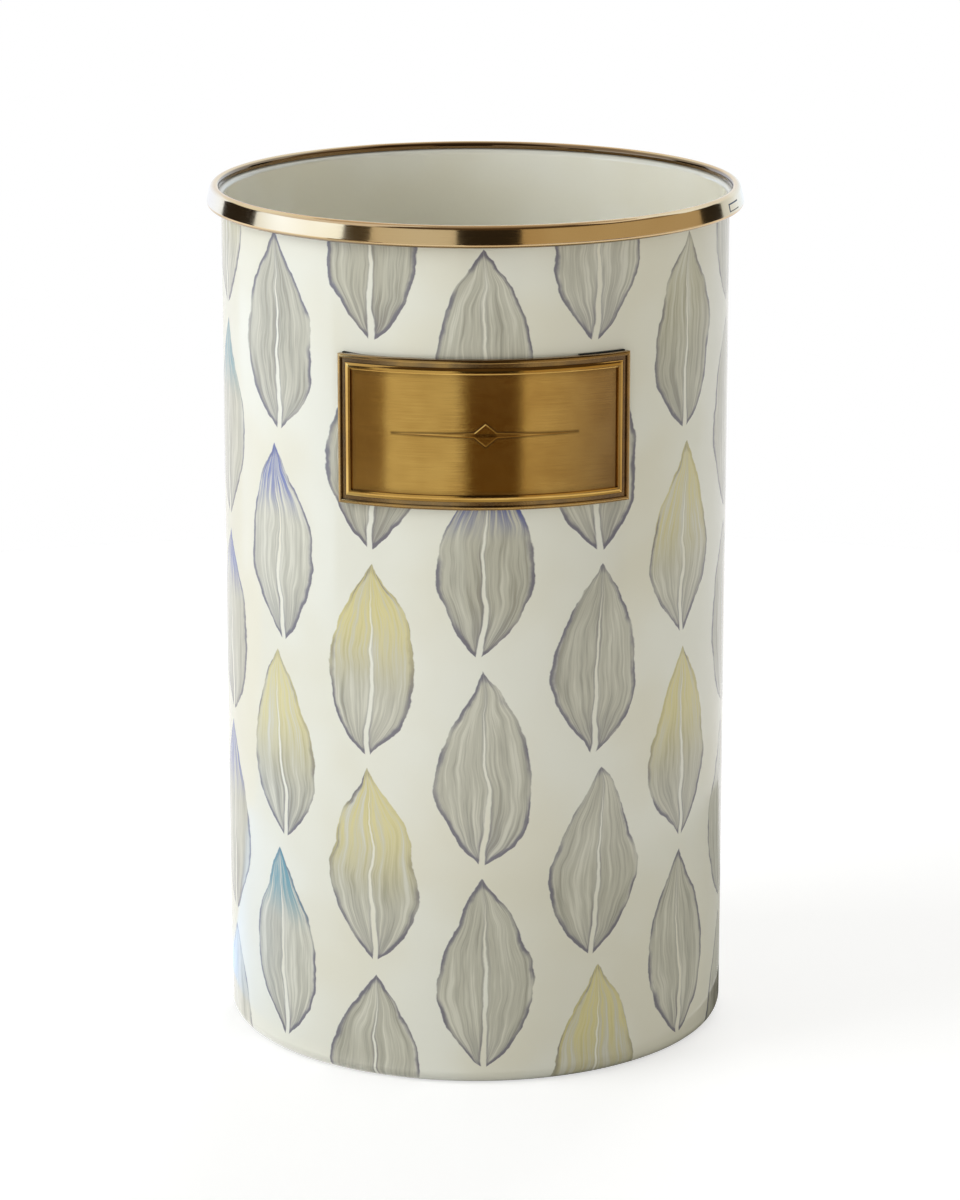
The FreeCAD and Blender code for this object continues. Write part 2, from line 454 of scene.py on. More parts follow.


# %% [markdown]
# ## The colours of the glaze
#
# The wash is one grey, thinner or thicker, with a cooler grey where it pools. Here and there a second colour
# was dragged into it while it was wet: yellow through some leaves, blue or teal at the tip of others.
# Each leaf draws its chances from its column and row, so the same leaves are coloured at every run.
# Round the turn of the base the coat darkens towards the dark ground coat: partly a thin cover coat, partly
# painted shade.

# %% Wash and touches of colour
wash_light = from_screen(223, 221, 206)
wash_grey = from_screen(197, 195, 179)
wash_dark = from_screen(166, 163, 148)
wash_pool = from_screen(124, 121, 130)
blue_touch = from_screen(80, 100, 184)
teal_touch = from_screen(80, 154, 176)
yellow_touch = from_screen(238, 226, 150)
streak_span = (0.34, 0.68)
leaf_tone_share = 0.3
grey_span = (0.0, 0.65)
dark_span = (0.6, 1.25)
pool_span = (0.1, 1.1)
pooled_streak_share = 0.25
pulled_span = (0.38, 0.54)
yellow_chance, yellow_reach, yellow_share = (0.22, 0.18), (-0.5, 0.5), 0.65
blue_chance, blue_reach, blue_share = (0.72, 0.76), (0.15, 0.7), 0.8
teal_above = 0.6


def glaze_colour(finish, leaf, hairs, pool):
    """The grey wash, lighter or darker with the streaks, and darkest in the pools."""
    calc, ease, mix = finish.calc, finish.ease, finish.mix
    streaks = ease(hairs, *streak_span)
    tone = calc("MULTIPLY_ADD", leaf.chances[2], leaf_tone_share, streaks)
    glaze = mix(ease(tone, *grey_span), wash_light, wash_grey)
    glaze = mix(ease(tone, *dark_span), glaze, wash_dark)
    thick = calc("MULTIPLY_ADD", streaks, pooled_streak_share, pool)
    return mix(ease(thick, *pool_span), glaze, wash_pool)


def touched_glaze(finish, leaf, hairs, glaze):
    """The glaze with colour dragged along the streaks of some leaves."""
    ease, mix, product = finish.ease, finish.mix, finish.product
    pulled = ease(hairs, *pulled_span)
    drawn = leaf.chances[3]
    yellow = product(pulled, ease(leaf.along, *yellow_reach), yellow_share, ease(drawn, *yellow_chance))
    blue = product(pulled, ease(leaf.along, *blue_reach), blue_share, ease(drawn, *blue_chance))
    cold = mix(finish.calc("GREATER_THAN", leaf.chances[4], teal_above), blue_touch, teal_touch)
    return mix(blue, mix(yellow, glaze, yellow_touch), cold)


# %% Painted enamel
glaze_height = 0.0001
glaze_strength = 0.2
unpooled_glaze = 0.6
thin_coat_and_shade_scale = 0.08
thin_coat_and_shade_wander = 0.8
thin_coat_and_shade_reach = (1.3, 0.5)
thin_coat_and_shade_share = 0.85


def painted_enamel():
    """The outside: glazed leaves on ivory, bare underneath, darkened round the base by a scant coat and
    painted shade.
    """
    finish = Finish("painted_enamel", **enamel_gloss)
    calc = finish.calc
    leaf = Leaf(finish)
    painted = paint_mask(finish, leaf)
    hairs = brush_hairs(finish, leaf)
    pool = glaze_pools(finish, leaf)
    glaze = touched_glaze(finish, leaf, hairs, glaze_colour(finish, leaf, hairs, pool))
    coat = enamel_tone(finish, leaf.scaled, ivory, ivory_warm)
    # Round the base the coat darkens towards the ground coat: partly a thin cover coat, partly painted shade
    wander = finish.noise(leaf.scaled, thin_coat_and_shade_scale)
    above = calc("MULTIPLY_ADD", wander, thin_coat_and_shade_wander, leaf.height)
    bare = finish.mix(finish.ease(above, *thin_coat_and_shade_reach, 0.0, thin_coat_and_shade_share), coat, ground_coat_and_shade)
    finish.set("Base Color", finish.mix(painted, bare, glaze))
    thickness = calc("MULTIPLY", painted, calc("ADD", pool, unpooled_glaze))
    waves = enamel_waves(finish, leaf.scaled)
    finish.set("Normal", finish.bump(thickness, glaze_strength, glaze_height, waves))
    return finish.material


# %% [markdown]
# ## Where the rim and the lip lie
#
# The lip of the pot is hidden in the rim, so the two are worked out together, from the outside in. The rim
# is a folded strip: a round top over the lip, an outer face that leans out towards its foot, and a foot
# turned in under the flare. The foot's bend reaches the rim's full radius, the lean gives the corner
# at the top, and the lip stands at the middle of the round top.

# %% Middle line of the rim
rim_low, rim_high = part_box("rim_band")
wall = 0.0009
rim_sheet = 0.0004
rim_clearance = 0.0002
rim_lean = math.radians(13)
foot_bend = 0.0007

overall_height = rim_high.z
rim_bottom = rim_low.z
rim_radius = rim_high.x
channel_half = wall / 2 + rim_clearance + rim_sheet / 2
crown = overall_height - rim_sheet / 2
crimp_height = rim_bottom + rim_sheet / 2
half_turn_slope = math.tan(math.pi / 4 - rim_lean / 2)
foot_corner = rim_radius - rim_sheet / 2 + foot_bend * (1 / half_turn_slope - 1)
crown_corner = foot_corner - (crown - crimp_height) * math.tan(rim_lean)
lip_line = crown_corner - channel_half * half_turn_slope
inner_leg = lip_line - channel_half
print("radius of the lip, mm:", round(lip_line * mm, 2))
print("radius of the rim's inner leg, mm:", round(inner_leg * mm, 2))

# %% [markdown]
# ## The pot
#
# Wall, base and lip are one pressing of one thickness. Its middle line runs out over the raised base, down
# to the ring that it stands on, round the bottom corner, straight up, and out through a small flare to
# the lip that carries the rim. The outer face takes the painted finish and the inner one the plain
# enamel, which Solidify does with its material offset.

# %% Build the pot
corner_radius = 0.0032
foot_ring_width = 0.008
base_rise = 0.0016
base_step_run = 0.0026
base_bend_run = 0.00057
lip_straight = 0.0005
flare_height = 0.0012
flare_bend_share = 0.4

wall_line = body_radius - wall / 2
lip_end = overall_height - rim_sheet - rim_clearance - wall / 2
flare_high = lip_end - lip_straight
flare_low = flare_high - flare_height
flare_bend_run = flare_bend_share * flare_height
ring_inner = body_radius - corner_radius - foot_ring_width

pot_corners = [
    (0, base_rise + wall / 2),
    (ring_inner - base_step_run, base_rise + wall / 2),
    (ring_inner, wall / 2),
    (wall_line, wall / 2),
    (wall_line, flare_low + flare_bend_run),
    (lip_line, flare_high - flare_bend_run),
    (lip_line, lip_end),
]
pot_runs = [base_bend_run, base_bend_run, corner_radius - wall / 2, flare_bend_run, flare_bend_run]
pot_materials = [painted_enamel(), plain_enamel()]
pot_bm = bent_line(pot_corners, pot_runs)
turn(pot_bm)
thicken(pot_bm, wall, pot_materials)
make_piece(pot_bm, "crock_pot", "enamelled_body", pot_materials)

# %% [markdown]
# ## The rim
#
# The rim is a strip of thin polished steel with a bronze tint, folded over the lip as worked out above.
# Its two ends meet on the right, where a tongue of one end lies in the other. The tongue shows as
# a fine gap along its tip and its sides. The planes of those edges cut the outer face into strips,
# and the strips in the gap are pushed in.

# %% Cut the joint
tongue_azimuth = math.radians(66.5)
tongue_length = 0.007
tongue_height = 0.00175
tongue_rise = 0.00135
tongue_gap = 0.00018
tongue_gap_depth = 0.0002
tongue_low = rim_bottom + tongue_rise
tongue_high = tongue_low + tongue_height
tongue_middle = (tongue_low + tongue_high) / 2
tongue_root = tongue_azimuth + tongue_length / rim_radius
tongue_tip = tongue_azimuth + tongue_gap / rim_radius
joint_margin = 0.05
on_face_distance = 0.00005
on_face_tilt = 0.05
cut_tolerance = 1e-7


def azimuth_of(point):
    """The angle from the front towards the right."""
    return math.atan2(point.x, -point.y)


def rim_face(height):
    """The radius of the rim's leaning outer face at a height."""
    return crown_corner + (crown - height) * math.tan(rim_lean) + rim_sheet / 2 / math.cos(rim_lean)


def outer_faces(bm):
    """The faces of the rim's leaning outer wall."""
    found = []
    for face in bm.faces:
        middle = face.calc_center_median()
        on_face = abs(math.hypot(middle.x, middle.y) - rim_face(middle.z)) < on_face_distance
        if on_face and abs(face.normal.z - math.sin(rim_lean)) < on_face_tilt:
            found.append(face)
    return found


def near_tongue(face):
    azimuth = azimuth_of(face.calc_center_median())
    return tongue_azimuth - joint_margin < azimuth < tongue_root + joint_margin


def in_gap(face):
    """Whether a face lies beside the tongue or at its tip."""
    middle = face.calc_center_median()
    azimuth = azimuth_of(middle)
    beside = tongue_azimuth < azimuth < tongue_root and tongue_low < middle.z < tongue_high
    in_tongue = azimuth > tongue_tip and tongue_low + tongue_gap < middle.z < tongue_high - tongue_gap
    return beside and not in_tongue


def of_kind(kind, items):
    """The vertices or faces among what an operator gives back."""
    return [item for item in items if isinstance(item, kind)]


def cut_faces(bm, faces, point, normal):
    """Cuts faces along the plane through a point."""
    geom = faces + list({edge for face in faces for edge in face.edges})
    geom += list({vert for face in faces for vert in face.verts})
    bmesh.ops.bisect_plane(bm, geom=geom, plane_co=point, plane_no=normal, dist=cut_tolerance)


def cut_joint(bm):
    """Opens the gap. Its heights are cut all round, so that the face shades alike everywhere."""
    for height in (tongue_low, tongue_low + tongue_gap, tongue_high - tongue_gap, tongue_high):
        cut_faces(bm, outer_faces(bm), (0, 0, height), (0, 0, 1))
    for azimuth in (tongue_azimuth, tongue_tip, tongue_root):
        faces = [face for face in outer_faces(bm) if near_tongue(face)]
        cut_faces(bm, faces, (0, 0, 0), (math.cos(azimuth), math.sin(azimuth), 0))
    gap = [face for face in outer_faces(bm) if in_gap(face)]
    print(len(gap), "faces in the joint's gap")
    pushed = bmesh.ops.extrude_face_region(bm, geom=gap)["geom"]
    inwards = (rim_radius - tongue_gap_depth) / rim_radius
    verts = of_kind(bmesh.types.BMVert, pushed)
    bmesh.ops.scale(bm, vec=(inwards, inwards, 1), verts=verts)
    bmesh.ops.delete(bm, geom=gap, context="FACES")


# %% [markdown]
# ## The rim's finish
#
# Polished steel with a bronze tint is nearly a mirror, so most of its looks come from what stands round it.
# A flawless mirror looks unreal, though. Polishing leaves fine lines round the ring and shallow dents.
# The inner leg and the foot are darkened with painted shade, and dirt and painted shade fill the joint.
# These could be painted on, but they follow from radius, angle and height, so a formula keeps them sharp.

# %% Dirt and painted shade in the joint
dirt_and_shade_depth = (0.006, 0.02)
shade_inset = 0.12
shade_end = 0.001
top_shade_reach = (0.26, 0.14)
tip_shade_reach = (0.42, 0.26)


def joint_dirt_and_shade(finish, radius, angle, z):
    """1 where dirt and painted shade fill the tongue's gap, or painted shade covers the edges at its tip and
    top.
    """
    calc, ease = finish.calc, finish.ease

    # Along the leaning face, radius and height add up to one level, and what is missing is the depth
    level = calc("MULTIPLY_ADD", z, math.tan(rim_lean), radius)
    depth = calc("SUBTRACT", rim_face(0) * mm, level)
    floor_depth = tongue_gap_depth * mm
    outer_side = ease(depth, floor_depth + 0.05, floor_depth + 0.02)
    sunk = ease(depth, *dirt_and_shade_depth)

    # Painted shade over the edges, as far along as the tongue reaches
    from_tip = calc("MULTIPLY", finish.apart(angle, tongue_tip), rim_radius * mm)
    from_top = finish.apart(z, tongue_high * mm - shade_inset)
    shade_smear = ease(from_top, *top_shade_reach)
    past_tip = ease(angle, tongue_azimuth - shade_end, tongue_azimuth)
    before_root = ease(angle, tongue_root + shade_end, tongue_root)
    shade_smear = finish.product(shade_smear, past_tip, before_root)
    shade_smear = calc("MAXIMUM", shade_smear, ease(from_tip, *tip_shade_reach))

    # Both keep to the height of the tongue
    from_middle = finish.apart(z, tongue_middle * mm)
    half_height = tongue_height * mm / 2
    beside = ease(from_middle, half_height + 0.05, half_height)
    return finish.product(calc("MAXIMUM", sunk, shade_smear), outer_side, beside)


# %% Polished bronze
bronze = from_screen(214, 186, 143)
bronze_deep = from_screen(204, 170, 122)
# A dark bronze for painted shade on the rim's inner leg and foot
painted_bronze_shade = from_screen(80, 52, 28)
gap_dirt_and_shade = from_screen(28, 22, 15)
tint_scale = 0.04
leg_painted_shade, leg_shade_reach = 0.8, 0.35
foot_painted_shade, foot_shade_reach = 0.55, (0.6, 0.3)
polish_lines = 9.0
polish_roughness = (0.06, 0.14)
dent_scale, dent_strength, dent_depth = 0.09, 0.12, 0.0004


def polished_bronze():
    """Bronze-tinted steel, polished round the ring."""
    finish = Finish("polished_bronze", Metallic=1.0)
    calc, ease, noise = finish.calc, finish.ease, finish.noise
    scaled, x, y, z = finish.place()
    radius, angle = finish.around(x, y)
    metal = finish.mix(ease(noise(scaled, tint_scale), 0.35, 0.7), bronze, bronze_deep)

    # Painted shade darkens the inner leg and the underside of the foot
    leg = inner_leg * mm
    above_foot = calc("SUBTRACT", z, rim_bottom * mm)
    metal = finish.mix(ease(radius, leg + leg_shade_reach, leg, 0.0, leg_painted_shade), metal, painted_bronze_shade)
    metal = finish.mix(ease(above_foot, *foot_shade_reach, 0.0, foot_painted_shade), metal, painted_bronze_shade)
    # Dirt and painted shade in the joint
    finish.set("Base Color", finish.mix(joint_dirt_and_shade(finish, radius, angle, z), metal, gap_dirt_and_shade))

    # Polishing lines run round the ring, so they depend on the section alone
    section = finish.join(calc("MULTIPLY", radius, polish_lines), calc("MULTIPLY", z, polish_lines))
    finish.set("Roughness", ease(noise(section, 1.0, detail=3.0), *noise_span, *polish_roughness))
    dents = noise(scaled, dent_scale, detail=1.0)
    finish.set("Normal", finish.bump(dents, dent_strength, dent_depth))
    return finish.material


# %% Build the rim
crimp_gap = 0.0003
largest_bend = 0.999
crown_run = channel_half * largest_bend
rim_corners = [
    (inner_leg, flare_high),
    (inner_leg, crown),
    (crown_corner, crown),
    (foot_corner, crimp_height),
    (body_radius + crimp_gap, crimp_height),
]
rim_runs = [crown_run, crown_run * half_turn_slope, foot_bend / half_turn_slope]
rim_materials = [polished_bronze()]
rim_bm = bent_line(rim_corners, rim_runs)
turn(rim_bm)
thicken(rim_bm, rim_sheet, rim_materials)
cut_joint(rim_bm)
make_piece(rim_bm, "bronze_rim", "rim_band", rim_materials)

# %% [markdown]
# ## The plaque
#
# The plaque is a stamped brass plate, bent to the curve of the wall. A ridge runs round its edge, then a
# groove, then a bead, and the field inside is flat and brushed, with a pointed rule and a lozenge raised
# at its middle. It is easiest to make flat: one face, extruded, and then inset again and again, with a step
# up or down at each inset, which keeps the corners mitred. Upright cuts then let the plate bend,
# and wrapping it round the axis bends it.

# %% Helpers for what is wrapped round the wall
plaque_low, plaque_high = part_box("front_plaque")
pad_thickness = 0.0008
plaque_thickness = 0.0009
plaque_back = body_radius + pad_thickness
plaque_field = plaque_back + plaque_thickness
plaque_width = 0.065
plaque_height = plaque_high.z - plaque_low.z
plaque_middle = (plaque_high.z + plaque_low.z) / 2
rule_size = (0.040, 0.0012)
lozenge_size = (0.006, 0.005)


def faces_of(verts):
    return list({face for vert in verts for face in vert.link_faces})


def flat_face(bm, width, height, middle=0):
    """A rectangle in the XY plane, as a list of its one face."""
    made = bmesh.ops.create_grid(bm, x_segments=1, y_segments=1, size=0.5)
    bmesh.ops.scale(bm, vec=(width, height, 1), verts=made["verts"])
    bmesh.ops.translate(bm, vec=(middle, 0, 0), verts=made["verts"])
    return faces_of(made["verts"])


def raise_face(bm, faces, rise):
    """Extrudes faces upwards and gives the faces on top."""
    raised = bmesh.ops.extrude_face_region(bm, geom=faces)["geom"]
    bmesh.ops.translate(bm, vec=(0, 0, rise), verts=of_kind(bmesh.types.BMVert, raised))
    return of_kind(bmesh.types.BMFace, raised)


def wrap(bm, unrolled_radius, columns):
    """Cuts a flat piece into columns and bends it round the wall: X goes round, Y up and Z outwards."""
    bmesh.ops.recalc_face_normals(bm, faces=bm.faces[:])
    first = min(vert.co.x for vert in bm.verts)
    last = max(vert.co.x for vert in bm.verts)
    for step in range(1, columns):
        cut = first + (last - first) * step / columns
        geom = bm.verts[:] + bm.edges[:] + bm.faces[:]
        bmesh.ops.bisect_plane(bm, geom=geom, plane_co=(cut, 0, 0), plane_no=(1, 0, 0), dist=cut_tolerance)
    for vert in bm.verts:
        angle = vert.co.x / unrolled_radius
        radius = body_radius + vert.co.z
        vert.co = (radius * math.sin(angle), -radius * math.cos(angle), plaque_middle + vert.co.y)
    bm.normal_update()


# %% Section of the frame
ridge_width = 0.0008
ridge_height = 0.00045
groove_width = 0.001
bead_width = 0.0013
bead_height = 0.0006
outer_slope = math.radians(38)
inner_slope = math.radians(12)
top_segments = 8
draft = 0.00002


def moulding(start, width, height):
    """Points (distance from the edge, height) over a moulding whose top is an arc that falls outwards."""
    radius = width / (math.sin(outer_slope) + math.sin(inner_slope))
    points = []
    for step in range(top_segments + 1):
        angle = (outer_slope + inner_slope) * step / top_segments - outer_slope
        distance = radius * (math.sin(angle) + math.sin(outer_slope))
        points.append((start + distance, height - radius + radius * math.cos(angle)))
    return points


bead_start = ridge_width + groove_width
frame_width = bead_start + bead_width
frame_section = moulding(0, ridge_width, ridge_height)
frame_section += [(ridge_width + draft, 0), (bead_start - draft, 0)]
frame_section += moulding(bead_start, bead_width, bead_height)
frame_section += [(frame_width + draft, 0)]
print("frame, mm:", [(round(distance * mm, 2), round(rise * mm, 2)) for distance, rise in frame_section])

# %% [markdown]
# ## The plaque's finish
#
# The plate is brass, brushed across and then antiqued: it was darkened all over, and rubbed until what
# stands up was bright again. The grain is a noise that is stretched along the brushing. A mask for
# the dark could be painted by hand, but it would be coarse close up. Here each point works out how far it
# lies from the plate's edge, from the mouldings and from the relief, and is dark where no rubbing reached.

# %% Patina
edge_blur = 0.02
margin_width, margin_stain = 1.5, 0.35
line_reach, line_stain = (0.2, 0.08), 0.5
halo_width, halo_stain = 0.6, 0.75


def moulding_stain(finish, from_edge):
    """Patina in a soft margin of the field, and in a fine line along the foot of each moulding."""
    calc, ease = finish.calc, finish.ease
    field_edge = frame_width * mm
    inside_bead = ease(from_edge, field_edge - edge_blur, field_edge + edge_blur)
    margin = ease(from_edge, field_edge + margin_width, field_edge, 0.0, margin_stain)
    nearest = margin_width
    for foot in (ridge_width, bead_start, frame_width):
        nearest = calc("MINIMUM", finish.apart(from_edge, foot * mm), nearest)
    line = ease(nearest, *line_reach, 0.0, line_stain)
    return calc("MAXIMUM", calc("MULTIPLY", margin, inside_bead), line)


def relief_stain(finish, from_upright, from_middle):
    """Patina round the rule and the lozenge, on whose sides the shares of length and width add up to 1."""
    calc, ease = finish.calc, finish.ease
    stain = 0.0
    for length, width in (rule_size, lozenge_size):
        half_length, half_width = length * mm / 2, width * mm / 2
        share_along = calc("DIVIDE", from_upright, half_length)
        shares = calc("ADD", share_along, calc("DIVIDE", from_middle, half_width))
        slant = 1 / math.hypot(1 / half_length, 1 / half_width)
        distance = calc("MULTIPLY", calc("SUBTRACT", shares, 1.0), slant)
        halo = ease(distance, halo_width, 0.0, 0.0, halo_stain)
        ends = ease(from_upright, half_length + halo_width, half_length)
        stain = calc("MAXIMUM", calc("MULTIPLY", halo, ends), stain)
    return stain


# %% Brushed brass
brass = from_screen(208, 167, 92)
brass_deep = from_screen(186, 143, 74)
brass_dull = from_screen(138, 114, 82)
patina = from_screen(66, 43, 20)
grain_along, grain_up = 0.1, 8.0
grain_strength, grain_depth = 0.35, 0.00002
cloud_scale = 0.09
smudge_scale = 0.2
rubbed_heights = (0.2, 0.05)
ridge_dullness = 0.75
brush_roughness = (0.07, 0.14)
worn_roughness = 0.12


def antique_brass():
    """Brushed brass, dull in the groove and on the ridge, dark where the rubbing didn't reach."""
    finish = Finish("antique_brass", Metallic=1.0)
    calc, ease, noise = finish.calc, finish.ease, finish.noise
    scaled, x, y, z = finish.place()
    radius, angle = finish.around(x, y)
    across = calc("MULTIPLY", angle, plaque_field * mm)
    from_upright = calc("ABSOLUTE", across)
    from_middle = finish.apart(z, plaque_middle * mm)
    from_side = calc("SUBTRACT", plaque_width * mm / 2, from_upright)
    from_end = calc("SUBTRACT", plaque_height * mm / 2, from_middle)
    from_edge = calc("MINIMUM", from_side, from_end)
    above_field = calc("SUBTRACT", radius, plaque_field * mm)

    # Brushing runs across the plate, so the grain is long that way and fine upwards
    grain_place = finish.join(calc("MULTIPLY", across, grain_along), calc("MULTIPLY", z, grain_up))
    grain = noise(grain_place, 1.0, detail=4.0, roughness=0.6)
    clouds = noise(scaled, cloud_scale)
    tint = calc("ADD", calc("MULTIPLY", grain, 0.5), calc("MULTIPLY", clouds, 0.5))
    metal = finish.mix(ease(tint, *noise_middle), brass, brass_deep)

    # The frame is left dull: the groove most of all, and the ridge in part
    smudge = ease(noise(scaled, smudge_scale), 0.25, 0.7, 0.6, 1.0)
    groove_edge = bead_start * mm
    outside_bead = ease(from_edge, groove_edge + edge_blur, groove_edge - edge_blur)
    dull = finish.product(outside_bead, smudge, ease(above_field, *rubbed_heights, ridge_dullness, 1.0))
    metal = finish.mix(dull, metal, brass_dull)

    # Patina stays in low places only
    low = ease(above_field, *rubbed_heights)
    round_relief = relief_stain(finish, from_upright, from_middle)
    stain = calc("MAXIMUM", moulding_stain(finish, from_edge), round_relief)
    dark = finish.product(low, stain, smudge)
    finish.set("Base Color", finish.mix(dark, metal, patina))
    rough = ease(grain, *noise_span, *brush_roughness)
    worn = calc("MAXIMUM", dark, dull)
    finish.set("Roughness", calc("MULTIPLY_ADD", worn, worn_roughness, rough))
    finish.set("Normal", finish.bump(grain, grain_strength, grain_depth))
    return finish.material


# %% Build the plaque
relief_height = 0.00035
relief_slope = 0.0002
plaque_columns = 72


def add_relief(bm, length, width):
    """A pointed bar at the middle of the field, its top edge chamfered."""
    made = bmesh.ops.create_circle(bm, cap_ends=True, segments=4, radius=0.5)
    bmesh.ops.scale(bm, vec=(length, width, 1), verts=made["verts"])
    bmesh.ops.translate(bm, vec=(0, 0, pad_thickness + plaque_thickness / 2), verts=made["verts"])
    top = raise_face(bm, faces_of(made["verts"]), plaque_thickness / 2 + relief_height - relief_slope)
    bmesh.ops.inset_region(bm, faces=top, thickness=relief_slope, depth=relief_slope, use_even_offset=True)


plaque_bm = bmesh.new()
plaque_face = flat_face(plaque_bm, plaque_width, plaque_height)
bmesh.ops.translate(plaque_bm, vec=(0, 0, pad_thickness), verts=plaque_bm.verts[:])
plaque_face = raise_face(plaque_bm, plaque_face, plaque_thickness + frame_section[0][1])
for (distance, rise), (next_distance, next_rise) in zip(frame_section, frame_section[1:]):
    step_in = next_distance - distance
    step_up = next_rise - rise
    bmesh.ops.inset_region(
        plaque_bm, faces=plaque_face, thickness=step_in, depth=step_up, use_even_offset=True
    )
add_relief(plaque_bm, *rule_size)
add_relief(plaque_bm, *lozenge_size)
wrap(plaque_bm, plaque_field, plaque_columns)
make_piece(plaque_bm, "brass_plaque", "front_plaque", [antique_brass()])

# %% [markdown]
# ## The foam tape
#
# Two strips of black foam tape hold the plaque off the wall, one at each end. Only their upper ends show, as
# a black line over the plaque's top edge. The left strip was cut at a slant, so less of it shows.
# Each strip is a flat rectangle that is extruded and wrapped round the wall, as the plaque is.

# %% Build the tape
pad_width = 0.011
pad_inset = 0.0006
pad_rise = 0.00015
pad_slant = 0.0008
pad_columns = 12
pad_radius = body_radius + pad_thickness / 2
foam_dark = from_screen(20, 20, 21)
foam_light = from_screen(38, 38, 38)
foam_cell_scale = 4.0
foam_cell_strength, foam_cell_depth = 0.5, 0.0001


def black_foam():
    """Matt foam with fine open cells."""
    finish = Finish("black_foam", Roughness=0.9)
    cells = finish.noise(finish.place()[0], foam_cell_scale)
    finish.set("Base Color", finish.mix(finish.ease(cells, *noise_span), foam_dark, foam_light))
    finish.set("Normal", finish.bump(cells, foam_cell_strength, foam_cell_depth))
    return finish.material


def build_pad(side, slant):
    """A strip at one end of the plaque, its upper end lower by slant on the side towards the middle."""
    bm = bmesh.new()
    middle = side * (plaque_width / 2 - pad_inset - pad_width / 2) * pad_radius / plaque_field
    face = flat_face(bm, pad_width, plaque_height - pad_inset + pad_rise, middle)
    bmesh.ops.translate(bm, vec=(0, (pad_inset + pad_rise) / 2, 0), verts=bm.verts[:])
    for vert in bm.verts:
        if vert.co.y > 0 and abs(vert.co.x) < abs(middle):
            vert.co.y -= slant
    raise_face(bm, face, pad_thickness)
    wrap(bm, pad_radius, pad_columns)
    return bm


foam = black_foam()
for side, word, slant in ((-1, "left", pad_slant), (1, "right", 0)):
    pad_bm = build_pad(side, slant)
    pad = make_piece(pad_bm, f"foam_tape_{word}", f"plaque_pad_{word}", [foam])

# %% [markdown]
# ## The floor and the world
#
# The crock stands on a plain white floor in a white room. Lamps bright enough to make both white would wash
# out the enamel. So the Light Path node tells the rays apart: the camera, mirrors and glass see white,
# and the light that falls on the crock stays at a plain level. The floor still takes its shadow.

# %% World and floor
scene.view_settings.view_transform = "Standard"
pure_white = (1.0, 1.0, 1.0, 1.0)
ambient = 0.36
ambient_colour = (1.0, 0.99, 0.95, 1.0)
floor_radius = 0.45
floor_sides = 96
floor_grey = (0.6, 0.6, 0.6, 1.0)
floor_glow = 0.6


def seen_directly(nodes):
    """A share that is 1 for camera, mirror and glass rays, and 0 for the light that falls on things."""
    rays = nodes.add("ShaderNodeLightPath", {}).outputs
    seen = nodes.calc("MAXIMUM", rays["Is Camera Ray"], rays["Is Glossy Ray"])
    return nodes.calc("MAXIMUM", seen, rays["Is Transmission Ray"])


def white_world():
    """A room that looks white, and gives light at the ambient level."""
    world = bpy.data.worlds.new("white_room")
    world.use_nodes = True
    nodes = Nodes(world.node_tree, "Background")
    direct = seen_directly(nodes)
    strength = nodes.add("ShaderNodeMapRange", {"Value": direct, "To Min": ambient})
    nodes.set("Strength", strength.outputs[0])
    nodes.set("Color", nodes.mix(direct, ambient_colour, pure_white))
    return world


def white_floor():
    """A matt floor whose glow makes up what its grey lacks to look white."""
    finish = Finish("white_floor", Roughness=1.0)
    finish.set("Base Color", floor_grey)
    finish.set("Specular IOR Level", 0.0)
    finish.set("Emission Color", pure_white)
    finish.set("Emission Strength", finish.calc("MULTIPLY", seen_directly(finish), floor_glow))
    return finish.material


scene.world = white_world()
floor_bm = bmesh.new()
bmesh.ops.create_circle(floor_bm, cap_ends=True, segments=floor_sides, radius=floor_radius)
floor = to_object(floor_bm, "floor", [white_floor()])
floor_bm.free()
print("floor, mm across:", round(floor.dimensions.x * mm))

# %% [markdown]
# ## The lamps
#
# Five large soft boxes light the crock, with more light from the left than from the right. One small lamp
# would be simpler, but it would leave a hard edge between light and shade. The boxes are hidden from
# mirrors, where their plain squares would show: the cards of the next step give the rim its reflections.

# %% Soft boxes
light_target = Vector((0, 0, overall_height / 2))
soft_box_size = 0.9


def direction(azimuth, elevation):
    """A unit vector: azimuth in degrees from the front towards the right, elevation above the floor."""
    turned, raised = math.radians(azimuth), math.radians(elevation)
    level = math.cos(raised)
    return Vector((math.sin(turned) * level, -math.cos(turned) * level, math.sin(raised)))


def soft_box(name, azimuth, elevation, distance, power, colour):
    """A square lamp that faces the crock."""
    lamp = bpy.data.lights.new(name, "AREA")
    lamp.shape = "SQUARE"
    lamp.size = soft_box_size
    lamp.energy = power
    lamp.color = colour
    box = bpy.data.objects.new(name, lamp)
    away = direction(azimuth, elevation)
    box.location = light_target + away * distance
    box.rotation_euler = away.to_track_quat("Z", "Y").to_euler()
    box.visible_camera = False
    box.visible_glossy = False
    scene.collection.objects.link(box)
    print(f"{name}: {power} W from {azimuth} degrees round and {elevation} up")


soft_box("key_left", -65, 4, 1.6, 7.5, (0.96, 0.985, 1.0))
soft_box("high_left", -75, 32, 1.6, 9.5, (0.97, 0.99, 1.0))
soft_box("fill_right", 50, 3, 1.8, 6, (1.0, 0.97, 0.86))
soft_box("front", -10, -4, 1.6, 2.2, (1.0, 0.98, 0.9))
soft_box("back", 165, 35, 1.8, 10, (1.0, 1.0, 1.0))

# %% [markdown]
# ## The reflection cards
#
# Polished metal shows whatever stands round it. So curved cards stand round the set in tiers, as
# a photographer puts up white and black boards, and rings of card lie on the floor round the foot. They show
# in reflections only. A picture of a studio on the world could do the same, but a card is easy to move:
# its row gives its edges, the azimuths that it stands between, and its glow, or its glow at either end.

